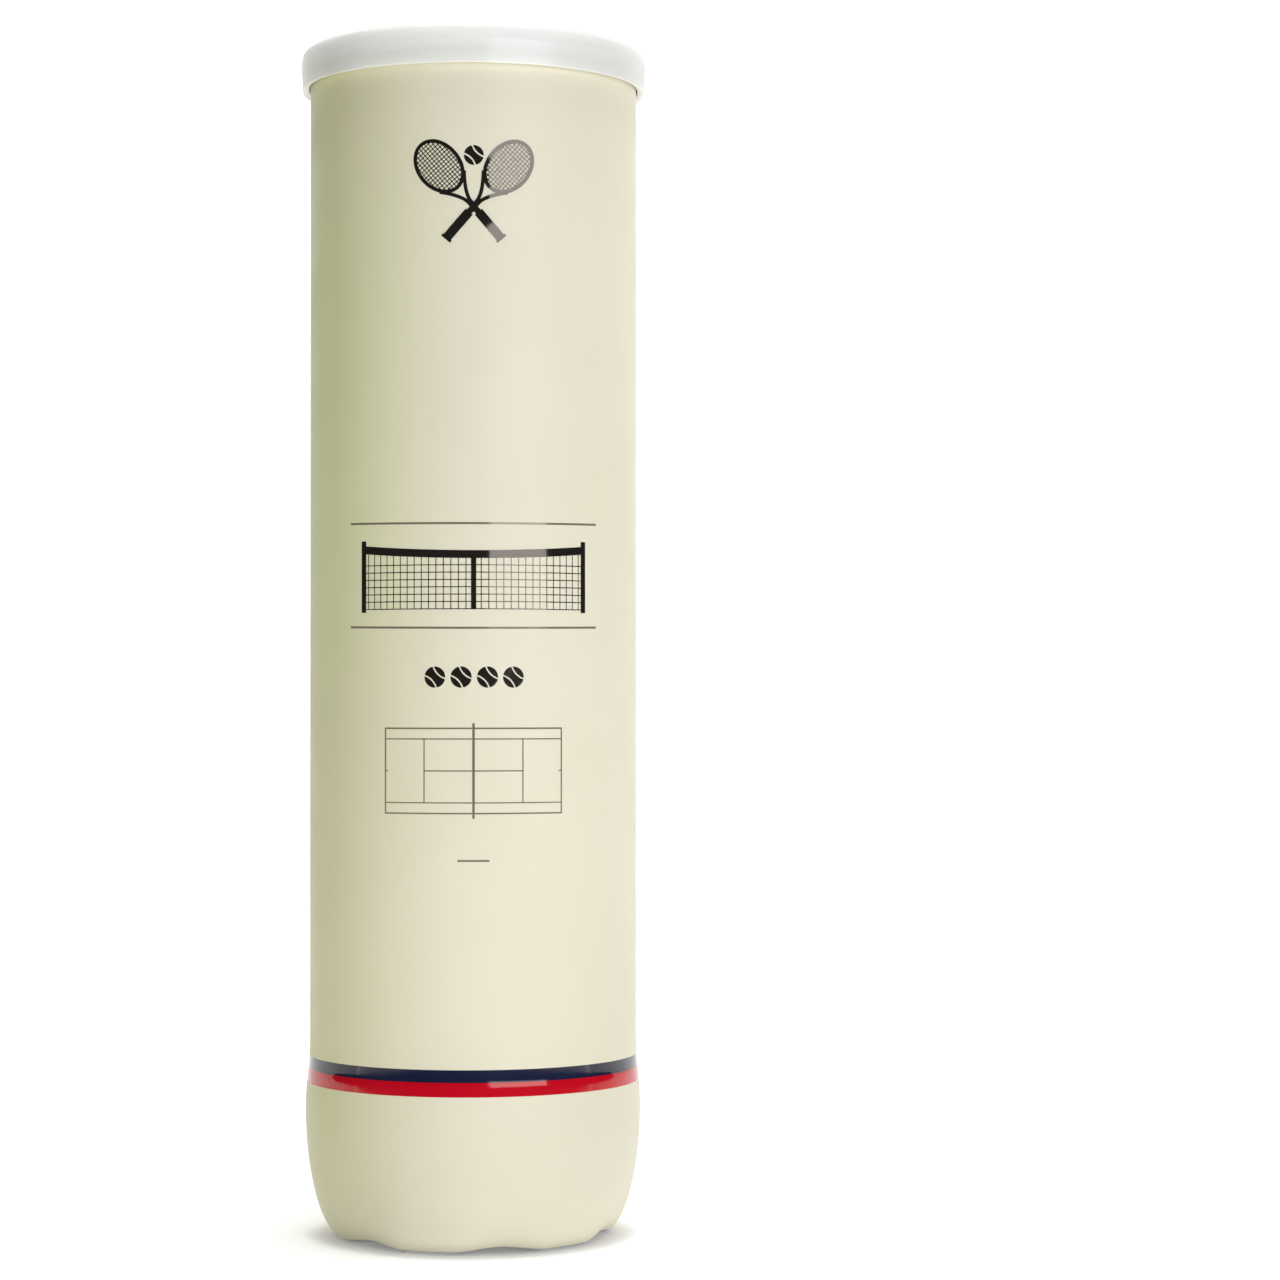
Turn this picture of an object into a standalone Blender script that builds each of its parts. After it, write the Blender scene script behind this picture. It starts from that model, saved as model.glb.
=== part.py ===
"""Four-ball tennis can: shell on six feet, film sleeve, easy-open end, overcap, four balls.

Metres, +Z up, the foot pads on Z = 0, the axis of the can on Z, the front of the
label towards -Y.  Angles round the can are measured from -Y towards +X.
"""

from math import atan2, cos, pi, radians, sin, sqrt, tanh

import bmesh
import bpy
from mathutils import Euler, Matrix, Vector

for old in list(bpy.data.objects):
    bpy.data.objects.remove(old, do_unlink=True)
for old in list(bpy.data.meshes):
    bpy.data.meshes.remove(old)
for old in list(bpy.data.materials):
    bpy.data.materials.remove(old)

MM = 0.001

# ---------------------------------------------------------------- driving sizes (mm)
SEGMENTS = 48                 # facets round every turned piece
GAP = 0.30                    # clearance between neighbouring pieces

# film sleeve, the outside of the can
SLEEVE_R = 37.75              # straight part
SLEEVE_T = 0.30
SLEEVE_BOTTOM = 1.60
SLEEVE_TOP = 265.40
STEP_Z = 38.70                # middle of the small step out, under the two stripes
STEP_W = 0.56
STEP_OUT = 0.139
FLARE_TOP = 46.0              # the wall eases out from here down to the bulge
FLARE_LOW = 29.0
BULGE_R = 38.72               # widest part of the heel
BULGE_Z = 30.0
HEEL_DROP = 8.80              # radius lost from the bulge to the floor

# shell
SHELL_T = 0.60
FEET = 6
ARCH_AT = radians(11.25)      # middle of one arch between two feet
ARCH_IN = 1.50                # depth of an arch groove in the heel
ARCH_UP = 0.90                # height of an arch over the floor
PAD_OUT = 30.0
PAD_IN = 25.0
BASE_UP = 2.0                 # underside of the middle of the base
SHELL_TOP = 269.6
FLANGE_R = 37.90
FLANGE_T = 0.60

# easy-open end
END_T = 0.35
MOUTH_R = 33.40               # opening left once the panel is torn out
SEAM_R = 38.60
SEAM_TOP = 271.0
SEAM_BOTTOM = 267.8
SEAM_IN = 37.50
CHUCK_R = 36.25
COUNTERSINK_Z = 264.9
PANEL_R = 33.05
PANEL_Z = 266.30
PANEL_T = 0.40
PANEL_BEAD_R = 30.9
PANEL_BEAD_W = 1.5
PANEL_BEAD_DEEP = 0.45
COMPOUND_T = 0.45

# pull tab, hinged on its nose
TAB_T = 1.20
TAB_NOSE_Y = -29.0
TAB_NOSE_R = 6.0
TAB_RING_R = 10.8
TAB_RING_Y = -8.6
TAB_HOLE_R = 7.4
RIVET_R = 2.40
RIVET_UP = 1.80
RIVET_CLEAR = 0.65

# overcap
LID_TOP = 273.1
LID_BOTTOM = 264.1
LID_R = 39.90
LID_BOTTOM_R = 39.60
LID_IN_R = 39.0
LID_BEAD_R = 38.82
LID_UNDER = 271.3
LID_RIM_IN = 33.6
LID_DISH = 0.80               # depth of the dished middle of the top
LID_MID_UNDER = 270.95

# balls
BALLS = 4
BALL_R = 32.70
BALL_BOTTOM = 2.90
FELT_T = 2.50
CORE_R = 29.30
CORE_T = 3.30
SEAM_HALF = 1.15
SEAM_GROOVE = 1.50
SEAM_OUT = 31.90
SEAM_CURVE_B = 0.25           # share of the radius in the third harmonic of the seam
FELT_RIBS = 16
FELT_ACROSS = 5
CORE_SEGMENTS = 16
CORE_RINGS = 4

# ---------------------------------------------------------------- materials


def material(name, colour, roughness, metallic=0.0):
    mat = bpy.data.materials.new(name)
    mat.use_nodes = True
    shader = mat.node_tree.nodes["Principled BSDF"]
    shader.inputs["Base Color"].default_value = (*colour, 1.0)
    shader.inputs["Roughness"].default_value = roughness
    shader.inputs["Metallic"].default_value = metallic
    mat.diffuse_color = (*colour, 1.0)
    return mat


SHELL_MAT = material("shell_plastic", (0.72, 0.70, 0.58), 0.16)
SLEEVE_MAT = material("sleeve_film", (0.73, 0.71, 0.57), 0.22)
END_MAT = material("end_metal", (0.80, 0.80, 0.79), 0.30, 1.0)
COMPOUND_MAT = material("seam_rubber", (0.42, 0.43, 0.42), 0.70)
LID_MAT = material("lid_plastic", (0.76, 0.77, 0.74), 0.40)
FELT_MAT = material("ball_felt", (0.62, 0.70, 0.06), 0.95)
BALL_SEAM_MAT = material("ball_seam_rubber", (0.80, 0.80, 0.76), 0.70)
CORE_MAT = material("ball_core_rubber", (0.07, 0.07, 0.075), 0.75)

# ---------------------------------------------------------------- helpers


def add_object(name, bm, mat, origin=(0.0, 0.0, 0.0), smooth_angle=40.0):
    """Make an object of bm, whose coordinates are in mm about the given origin in mm."""
    bmesh.ops.remove_doubles(bm, verts=bm.verts, dist=1e-5)
    bmesh.ops.dissolve_degenerate(bm, edges=bm.edges, dist=1e-5)
    bmesh.ops.recalc_face_normals(bm, faces=bm.faces)
    bmesh.ops.scale(bm, verts=bm.verts, vec=(MM, MM, MM))
    limit = radians(smooth_angle)
    for face in bm.faces:
        face.smooth = True
    for edge in bm.edges:
        if len(edge.link_faces) == 2:
            edge.smooth = edge.calc_face_angle(0.0) < limit
    mesh = bpy.data.meshes.new(name)
    bm.to_mesh(mesh)
    bm.free()
    mesh.materials.append(mat)
    obj = bpy.data.objects.new(name, mesh)
    obj.location = Vector(origin) * MM
    bpy.context.scene.collection.objects.link(obj)
    return obj


def turned(points, closed=True, segments=SEGMENTS):
    """Spin a profile of (radius, height) points round Z."""
    bm = bmesh.new()
    verts = [bm.verts.new((r, 0.0, z)) for r, z in points]
    edges = [bm.edges.new(pair) for pair in zip(verts, verts[1:])]
    if closed:
        edges.append(bm.edges.new((verts[-1], verts[0])))
    bmesh.ops.spin(bm, geom=verts + edges, cent=(0, 0, 0), axis=(0, 0, 1), dvec=(0, 0, 0),
                   angle=2 * pi, steps=segments, use_merge=True, use_duplicate=False)
    bmesh.ops.remove_doubles(bm, verts=bm.verts, dist=1e-5)
    return bm


def offset_line(points, distance):
    """Move a line of (r, z) points sideways, to the left of its direction."""
    out = []
    for i, (r, z) in enumerate(points):
        normal = Vector((0.0, 0.0))
        for a, b in ((i - 1, i), (i, i + 1)):
            if a >= 0 and b < len(points):
                d = Vector((points[b][0] - points[a][0], points[b][1] - points[a][1]))
                d.normalize()
                normal += Vector((-d.y, d.x))
        normal.normalize()
        before = points[max(i - 1, 0)]
        after = points[min(i + 1, len(points) - 1)]
        d = Vector((after[0] - before[0], after[1] - before[1])).normalized()
        lean = max(0.8, normal.dot(Vector((-d.y, d.x))))
        out.append((max(r + normal.x * distance / lean, 0.0), z + normal.y * distance / lean))
    return out


def ease(t):
    t = min(max(t, 0.0), 1.0)
    return t * t * (3.0 - 2.0 * t)


def outside_r(z):
    """Radius of the outside of the sleeve over a foot, at height z."""
    if z >= BULGE_Z:
        step = 0.5 * (1.0 + tanh((STEP_Z - z) / STEP_W))
        flare = ease((FLARE_TOP - z) / (FLARE_TOP - FLARE_LOW)) / ease((FLARE_TOP - BULGE_Z) / (FLARE_TOP - FLARE_LOW))
        return SLEEVE_R + STEP_OUT * step + (BULGE_R - SLEEVE_R - STEP_OUT) * flare
    u = (BULGE_Z - z) / BULGE_Z
    return BULGE_R - HEEL_DROP * (1.0 - sqrt(max(1.0 - u * u, 0.0)))


def arch(angle):
    """0 over the flat of a foot, 1 in the middle of an arch."""
    return max(0.0, (cos(FEET * (angle - ARCH_AT)) + 0.35) / 1.35)


def shape_feet(bm):
    """Press the arches between the feet into a turned shell or sleeve."""
    for v in bm.verts:
        r, z = Vector((v.co.x, v.co.y)).length, v.co.z
        if z > 26.0 or r < 1.0:
            continue
        angle = atan2(v.co.x, -v.co.y)
        a = arch(angle)
        groove = ARCH_IN * (1.0 - max(z, 0.0) / 26.0) ** 1.6 * ease((r - 16.0) / 12.0)
        up = ARCH_UP * ease(1.0 - z / 6.0) * ease((r - 9.0) / 13.0)
        new_r = r - groove * a
        v.co = Vector((sin(angle) * new_r, -cos(angle) * new_r, z + up * a))


# ---------------------------------------------------------------- shell
WALL_Z = (46.0, 41.5, 38.7, 35.5, 30.0, 21.0, 13.0, 7.5, 4.0, 2.4)
SHELL_OFF = SLEEVE_T + GAP
shell_r = SLEEVE_R - SHELL_OFF

outer = [(shell_r, SHELL_TOP - FLANGE_T - 0.5)]
outer += [(outside_r(z) - SHELL_OFF, z) for z in WALL_Z]
outer += [(outside_r(1.2) - SHELL_OFF, 1.2), (PAD_OUT, 0.0), (PAD_IN, 0.0),
          (21.0, 0.9), (15.0, BASE_UP - 0.35), (8.0, BASE_UP), (0.0, BASE_UP)]
inner = offset_line(outer, -SHELL_T)
inner[-1] = (0.0, BASE_UP + SHELL_T)
inner[0] = (shell_r - SHELL_T, outer[0][1])
profile = list(reversed(inner)) + [(shell_r - SHELL_T, SHELL_TOP), (FLANGE_R, SHELL_TOP),
                                   (FLANGE_R, SHELL_TOP - FLANGE_T)] + outer
bm = turned(profile, closed=False)
shape_feet(bm)
add_object("can_body", bm, SHELL_MAT)

# ---------------------------------------------------------------- sleeve
sleeve_z = (SLEEVE_TOP,) + WALL_Z + (SLEEVE_BOTTOM,)
skin = [(outside_r(z), z) for z in sleeve_z]
back = [(r - SLEEVE_T, z) for r, z in reversed(skin)]
bm = turned(skin + back)
shape_feet(bm)
add_object("label_sleeve", bm, SLEEVE_MAT)

# ---------------------------------------------------------------- easy-open end
end_profile = [
    (MOUTH_R, PANEL_Z), (MOUTH_R, PANEL_Z + PANEL_T),
    (34.55, PANEL_Z + PANEL_T), (34.95, COUNTERSINK_Z + END_T),
    (35.40, COUNTERSINK_Z + END_T), (CHUCK_R - END_T, SEAM_TOP - 0.55),
    (CHUCK_R - 0.02, SEAM_TOP), (SEAM_R - 0.55, SEAM_TOP), (SEAM_R, SEAM_TOP - 0.55),
    (SEAM_R, SEAM_BOTTOM + 0.4), (SEAM_R - 0.4, SEAM_BOTTOM), (SEAM_IN, SEAM_BOTTOM),
    (SEAM_IN, SEAM_BOTTOM + END_T), (SEAM_R - END_T, SEAM_BOTTOM + END_T),
    (SEAM_R - END_T, SEAM_TOP - END_T), (CHUCK_R, SEAM_TOP - END_T),
    (35.75, COUNTERSINK_Z), (34.60, COUNTERSINK_Z), (34.20, PANEL_Z),
]
add_object("end_ring", turned(end_profile), END_MAT)

compound_z = SEAM_TOP - END_T - GAP - COMPOUND_T
add_object("seam_compound", turned([
    (shell_r - SHELL_T + 0.15, compound_z), (FLANGE_R - 0.05, compound_z),
    (FLANGE_R - 0.05, compound_z + COMPOUND_T), (shell_r - SHELL_T + 0.15, compound_z + COMPOUND_T),
]), COMPOUND_MAT)

# ---------------------------------------------------------------- tear panel with its rivet
bead_in, bead_out = PANEL_BEAD_R - PANEL_BEAD_W / 2, PANEL_BEAD_R + PANEL_BEAD_W / 2
top = PANEL_Z + PANEL_T
panel_profile = [
    (0.0, top), (bead_in - 0.4, top), (bead_in + 0.2, top - PANEL_BEAD_DEEP),
    (bead_out - 0.2, top - PANEL_BEAD_DEEP), (bead_out + 0.4, top), (PANEL_R, top),
    (PANEL_R, PANEL_Z), (bead_out + 0.4, PANEL_Z), (bead_out - 0.2, PANEL_Z - PANEL_BEAD_DEEP),
    (bead_in + 0.2, PANEL_Z - PANEL_BEAD_DEEP), (bead_in - 0.4, PANEL_Z), (0.0, PANEL_Z),
]
bm = turned([(r, z - PANEL_Z) for r, z in panel_profile], closed=False)
panel = add_object("tear_panel", bm, END_MAT, (0.0, 0.0, PANEL_Z))

RIVET_Y = TAB_NOSE_Y + TAB_NOSE_R
rivet_bm = turned([(0.0, PANEL_T / 2), (RIVET_R - 0.5, PANEL_T / 2), (RIVET_R - 0.5, 0.9 + PANEL_T),
                   (RIVET_R - 0.5, 0.95 + PANEL_T), (RIVET_R, 1.05 + PANEL_T),
                   (RIVET_R, RIVET_UP - 0.35 + PANEL_T), (RIVET_R - 0.45, RIVET_UP + PANEL_T),
                   (0.0, RIVET_UP + PANEL_T)], closed=False, segments=16)
for v in rivet_bm.verts:
    v.co.y += RIVET_Y
rivet = add_object("rivet_tool", rivet_bm, END_MAT, (0.0, 0.0, PANEL_Z))


def combine(target, tool, operation):
    tool.hide_render = True
    tool.display_type = "WIRE"
    mod = target.modifiers.new(tool.name, "BOOLEAN")
    mod.operation = operation
    mod.solver = "EXACT"
    mod.object = tool


combine(panel, rivet, "UNION")

# ---------------------------------------------------------------- pull tab
TAB_Z = PANEL_Z + PANEL_T + GAP


def tab_outline(grow=0.0, count=40):
    """Outline round the nose circle and the ring circle, as (x, y) from the hinge."""
    nose, ring = TAB_NOSE_R, TAB_RING_Y - TAB_NOSE_Y
    lean = (TAB_RING_R - TAB_NOSE_R) / (ring - nose)     # sine of the slope of the flanks
    cut = pi / 2 + atan2(lean, sqrt(1 - lean * lean))    # half the ring's share of the turn
    out = []
    big = int(count * 0.58)
    for i in range(big + 1):
        a = -cut + 2 * cut * i / big
        out.append(((TAB_RING_R + grow) * sin(a), ring + (TAB_RING_R + grow) * cos(a)))
    small = count - big
    for i in range(small + 1):
        a = cut + (2 * pi - 2 * cut) * i / small
        out.append(((TAB_NOSE_R + grow) * sin(a), nose + (TAB_NOSE_R + grow) * cos(a)))
    return out


bm = bmesh.new()
levels = ((-0.35, 0.0), (0.0, 0.30), (0.0, TAB_T - 0.30), (-0.35, TAB_T))
loops = []
for grow, z in levels:
    loops.append([bm.verts.new((x, y, z)) for x, y in tab_outline(grow)])
for low, high in zip(loops, loops[1:]):
    for i in range(len(low)):
        k = (i + 1) % len(low)
        bm.faces.new((low[i], low[k], high[k], high[i]))
bm.faces.new(loops[0])
bm.faces.new(loops[-1])
tab = add_object("pull_tab", bm, END_MAT, (0.0, TAB_NOSE_Y, TAB_Z))


def drill(name, radius, y, segments):
    cutter = turned([(0.0, -1.0), (radius, -1.0), (radius, TAB_T + 1.0), (0.0, TAB_T + 1.0)],
                    closed=False, segments=segments)
    for v in cutter.verts:
        v.co.y += y
    return add_object(name, cutter, END_MAT, (0.0, TAB_NOSE_Y, TAB_Z))


combine(tab, drill("finger_tool", TAB_HOLE_R, TAB_RING_Y - TAB_NOSE_Y, 28), "DIFFERENCE")
combine(tab, drill("rivet_hole_tool", RIVET_R + RIVET_CLEAR, TAB_NOSE_R, 16), "DIFFERENCE")

# ---------------------------------------------------------------- overcap
dish_in = LID_RIM_IN - 1.6
lid_profile = [
    (0.0, LID_TOP - LID_DISH), (dish_in, LID_TOP - LID_DISH), (LID_RIM_IN - 0.7, LID_TOP - 0.12),
    (LID_RIM_IN, LID_TOP), (38.9, LID_TOP), (39.45, LID_TOP - 0.4), (LID_R, LID_TOP - 2.6),
    (LID_R, LID_TOP - 3.4), (LID_BOTTOM_R, LID_BOTTOM + 4.0),
    (LID_BOTTOM_R, LID_BOTTOM + 0.3), (LID_BOTTOM_R - 0.2, LID_BOTTOM),
    (LID_BEAD_R + 0.12, LID_BOTTOM), (LID_BEAD_R, LID_BOTTOM + 0.3), (LID_BEAD_R, 266.2),
    (LID_IN_R, 267.0), (LID_IN_R, LID_UNDER - 0.35), (LID_IN_R - 0.35, LID_UNDER),
    (LID_RIM_IN + 0.6, LID_UNDER), (LID_RIM_IN - 0.2, LID_MID_UNDER), (0.0, LID_MID_UNDER),
]
add_object("lid", turned(lid_profile, closed=False), LID_MAT)

# ---------------------------------------------------------------- balls
PARAM_A = 1.0 - SEAM_CURVE_B
PARAM_C = 2.0 * sqrt(PARAM_A * SEAM_CURVE_B)


def seam_point(t):
    """Point of the seam on the unit sphere."""
    return Vector((PARAM_A * cos(t) + SEAM_CURVE_B * cos(3 * t),
                   PARAM_A * sin(t) - SEAM_CURVE_B * sin(3 * t),
                   PARAM_C * sin(2 * t)))


def seam_side(t):
    """Unit vector across the seam, towards the panel over the +Z pole."""
    step = 1e-4
    along = (seam_point(t + step) - seam_point(t - step)).normalized()
    return seam_point(t).cross(along).normalized()


def seam_offset(t, distance):
    return (seam_point(t) + seam_side(t) * (distance / BALL_R)).normalized()


def arc(a, b, share):
    """Point a share of the way along the great circle from a to b."""
    angle = a.angle(b, 0.0)
    if angle < 1e-6:
        return a.copy()
    return (a * sin((1 - share) * angle) + b * sin(share * angle)) / sin(angle)


def felt_mesh(side):
    """One dumbbell of felt: ribs across the panel from one edge to the other."""
    start = -pi / 4 if side > 0 else pi / 4
    fold = -pi / 2 if side > 0 else pi / 2
    bm = bmesh.new()
    shells = []
    for radius in (BALL_R, BALL_R - FELT_T):
        rows = []
        for i in range(FELT_RIBS + 1):
            t = start + pi * i / FELT_RIBS
            a = seam_offset(t, side * SEAM_GROOVE)
            b = seam_offset(fold - t, side * SEAM_GROOVE)
            if i in (0, FELT_RIBS):
                tip = bm.verts.new(a * radius)
                rows.append([tip] * (FELT_ACROSS + 1))
            else:
                rows.append([bm.verts.new(arc(a, b, k / FELT_ACROSS) * radius)
                             for k in range(FELT_ACROSS + 1)])
        shells.append(rows)

    def face(*corners):
        distinct = list(dict.fromkeys(corners))
        if len(distinct) >= 3:
            bm.faces.new(distinct)

    for rows in shells:
        for low, high in zip(rows, rows[1:]):
            for k in range(FELT_ACROSS):
                face(low[k], low[k + 1], high[k + 1], high[k])
    out_rows, in_rows = shells
    for edge in (0, FELT_ACROSS):
        for i in range(FELT_RIBS):
            face(out_rows[i][edge], out_rows[i + 1][edge], in_rows[i + 1][edge], in_rows[i][edge])
    return bm


def seam_mesh():
    """The rubber strip in the groove between the two panels."""
    bm = bmesh.new()
    count = 2 * FELT_RIBS
    rings = []
    for i in range(count):
        t = -pi / 4 + 2 * pi * i / count
        left, right = seam_offset(t, -SEAM_HALF), seam_offset(t, SEAM_HALF)
        rings.append([bm.verts.new(p) for p in (
            left * (BALL_R - FELT_T), right * (BALL_R - FELT_T), right * SEAM_OUT, left * SEAM_OUT)])
    for i in range(count):
        low, high = rings[i], rings[(i + 1) % count]
        for k in range(4):
            n = (k + 1) % 4
            bm.faces.new((low[k], low[n], high[n], high[k]))
    return bm


def core_mesh(side):
    """One half of the hollow rubber core, its rim just off the middle plane."""
    lift = GAP / 2
    out_line, in_line = [], []
    for i in range(CORE_RINGS + 1):
        a = pi / 2 * i / CORE_RINGS
        out_line.append((CORE_R * cos(a), CORE_R * sin(a)))
        in_line.append(((CORE_R - CORE_T) * cos(a), (CORE_R - CORE_T) * sin(a)))
    out_line[0] = (CORE_R, lift)
    in_line[0] = (CORE_R - CORE_T, lift)
    out_line[-1] = (0.0, CORE_R)
    in_line[-1] = (0.0, CORE_R - CORE_T)
    bm = turned(list(reversed(out_line)) + in_line, closed=False, segments=CORE_SEGMENTS)
    if side < 0:
        bmesh.ops.rotate(bm, verts=bm.verts, cent=(0, 0, 0), matrix=Matrix.Rotation(pi, 3, "X"))
    return bm


for n in range(1, BALLS + 1):
    middle = BALL_BOTTOM + BALL_R + (n - 1) * (2 * BALL_R + GAP)
    lie = Euler((radians(25 + 67 * n), radians(12 * n - 31), radians(41 * n + 8))).to_matrix()
    pieces = (
        ("core_upper", core_mesh(1), CORE_MAT),
        ("core_lower", core_mesh(-1), CORE_MAT),
        ("felt_a", felt_mesh(1), FELT_MAT),
        ("felt_b", felt_mesh(-1), FELT_MAT),
        ("seam", seam_mesh(), BALL_SEAM_MAT),
    )
    for piece, bm, mat in pieces:
        bmesh.ops.rotate(bm, verts=bm.verts, cent=(0, 0, 0), matrix=lie)
        add_object(f"ball_{n}_{piece}", bm, mat, (0.0, 0.0, middle))
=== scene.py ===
"""Looks of the four-ball tennis can: film sleeve with its print, shell, metal end, lid, balls."""

import math

import bmesh
import bpy
import numpy as np
from mathutils import Euler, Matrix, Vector, noise


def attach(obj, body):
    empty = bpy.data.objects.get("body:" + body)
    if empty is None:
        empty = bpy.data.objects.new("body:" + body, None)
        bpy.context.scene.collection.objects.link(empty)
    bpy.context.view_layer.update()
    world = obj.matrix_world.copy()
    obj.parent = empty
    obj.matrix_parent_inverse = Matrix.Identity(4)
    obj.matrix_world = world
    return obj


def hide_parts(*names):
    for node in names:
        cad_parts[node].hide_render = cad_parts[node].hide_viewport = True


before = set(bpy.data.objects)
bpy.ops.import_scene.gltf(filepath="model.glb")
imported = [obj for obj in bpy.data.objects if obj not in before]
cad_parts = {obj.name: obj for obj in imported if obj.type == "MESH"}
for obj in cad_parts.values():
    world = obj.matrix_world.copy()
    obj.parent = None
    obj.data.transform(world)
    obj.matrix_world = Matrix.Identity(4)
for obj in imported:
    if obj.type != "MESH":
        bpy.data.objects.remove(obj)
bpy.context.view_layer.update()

MM = 0.001
TAU = 2.0 * math.pi

# ------------------------------------------------------------------ sizes, mm (as the CAD part)
SLEEVE_R = 37.75
SLEEVE_TOP = 265.4
STEP_Z, STEP_W, STEP_OUT = 38.7, 0.56, 0.139
FLARE_TOP, FLARE_LOW = 46.0, 29.0
BULGE_R, BULGE_Z, HEEL_DROP = 38.72, 30.0, 8.8
FEET, ARCH_AT, ARCH_IN, ARCH_UP = 6, math.radians(11.25), 1.5, 0.9
NAVY_TOP, NAVY_LOW, RED_LOW = 41.84, 39.06, 35.90
BALL_R, BALL_BOTTOM, BALL_PITCH = 32.7, 2.9, 65.7
PANEL_Z, PANEL_T = 266.3, 0.4
TAB_NOSE_Y, TAB_Z, TAB_T = -29.0, 267.0, 1.2

# ------------------------------------------------------------------ small helpers


def ease(t):
    t = np.clip(t, 0.0, 1.0)
    return t * t * (3.0 - 2.0 * t)


def outside_r(z):
    """Radius of the outside of the film over a foot, at height z."""
    z = np.asarray(z, dtype=float)
    step = 0.5 * (1.0 + np.tanh((STEP_Z - z) / STEP_W))
    flare = (BULGE_R - SLEEVE_R - STEP_OUT) * ease((FLARE_TOP - z) / (FLARE_TOP - FLARE_LOW)) / 0.9898
    high = SLEEVE_R + STEP_OUT * step + flare
    u = np.clip((BULGE_Z - z) / BULGE_Z, 0.0, 1.0)
    low = BULGE_R - HEEL_DROP * (1.0 - np.sqrt(np.clip(1.0 - u * u, 0.0, 1.0)))
    return np.where(z >= BULGE_Z, high, low)


def feet(r, th, z):
    """Press the arches between the six feet into the heel and the base."""
    a = np.clip((np.cos(FEET * (th - ARCH_AT)) + 0.35) / 1.35, 0.0, None) ** 1.35
    groove = ARCH_IN * np.clip(1.0 - np.clip(z, 0.0, None) / 26.0, 0.0, 1.0) ** 1.6 * ease((r - 16.0) / 12.0)
    up = ARCH_UP * ease(1.0 - z / 6.0) * ease((r - 9.0) / 13.0)
    return r - groove * a, z + up * a


def rounded(corners, closed=False, turn=15.0):
    """Round the corners of a line: each corner is (r, z, radius)."""
    out = []
    count = len(corners)
    for i, (x, y, rad) in enumerate(corners):
        here = Vector((x, y))
        if rad <= 0.0 or (not closed and i in (0, count - 1)):
            out.append((x, y))
            continue
        a = Vector(corners[i - 1][:2]) - here
        b = Vector(corners[(i + 1) % count][:2]) - here
        la, lb = a.length, b.length
        a.normalize()
        b.normalize()
        angle = a.angle(b)
        if angle > math.pi - 1e-3:
            out.append((x, y))
            continue
        reach = min(rad / math.tan(angle / 2), 0.49 * la, 0.49 * lb)
        rad = reach * math.tan(angle / 2)
        mid = here + (a + b).normalized() * (rad / math.sin(angle / 2))
        p, q = here + a * reach - mid, here + b * reach - mid
        sweep = math.pi - angle
        steps = max(2, int(math.degrees(sweep) / turn) + 1)
        side = 1.0 if p.x * q.y - p.y * q.x > 0 else -1.0
        for k in range(steps + 1):
            w = side * sweep * k / steps
            c, s = math.cos(w), math.sin(w)
            out.append((mid.x + p.x * c - p.y * s, mid.y + p.x * s + p.y * c))
    return out


def finish_mesh(name, bm, mats, recalc=True):
    if recalc:
        bmesh.ops.recalc_face_normals(bm, faces=bm.faces)
    for f in bm.faces:
        f.smooth = True
    mesh = bpy.data.meshes.new(name)
    bm.to_mesh(mesh)
    bm.free()
    for mat in mats:
        mesh.materials.append(mat)
    obj = bpy.data.objects.new(name, mesh)
    bpy.context.scene.collection.objects.link(obj)
    return obj


def lathe(name, outline, mats, n=240, thetas=None, deform=None, seg_mat=None, closed=True, sharp=None):
    """Turn a line of (r, z) mm round Z; deform(r, theta, z) may reshape each ring."""
    th = np.linspace(0.0, TAU, n, endpoint=False) if thetas is None else np.asarray(thetas)
    count = len(th)
    verts, rings = [], []
    for r, z in outline:
        base = len(verts)
        if r < 1e-6:
            verts.append((0.0, 0.0, z * MM))
            rings.append([base])
            continue
        rr, zz = np.full(count, float(r)), np.full(count, float(z))
        if deform is not None:
            rr, zz = deform(rr, th, zz)
        pts = np.stack([rr * np.sin(th), -rr * np.cos(th), zz], axis=1) * MM
        verts.extend(map(tuple, pts))
        rings.append(list(range(base, base + count)))
    faces, mat_index = [], []
    last = len(outline) if closed else len(outline) - 1
    for i in range(last):
        a, b = rings[i], rings[(i + 1) % len(outline)]
        if len(a) == 1 and len(b) == 1:
            continue
        m = seg_mat(i) if seg_mat else 0
        for j in range(count):
            k = (j + 1) % count
            if len(a) == 1:
                faces.append((a[0], b[k], b[j]))
            elif len(b) == 1:
                faces.append((a[j], a[k], b[0]))
            else:
                faces.append((a[j], a[k], b[k], b[j]))
            mat_index.append(m)
    mesh = bpy.data.meshes.new(name)
    mesh.from_pydata(verts, [], faces)
    mesh.polygons.foreach_set("material_index", mat_index)
    bm = bmesh.new()
    bm.from_mesh(mesh)
    bpy.data.meshes.remove(mesh)
    obj = finish_mesh(name, bm, mats)
    if sharp is not None:
        obj.data.set_sharp_from_angle(angle=math.radians(sharp))
    return obj


def wear(obj, body, slot, *nodes):
    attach(obj, body)
    if nodes:
        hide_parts(*nodes)
    return obj


# ------------------------------------------------------------------ materials


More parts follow.
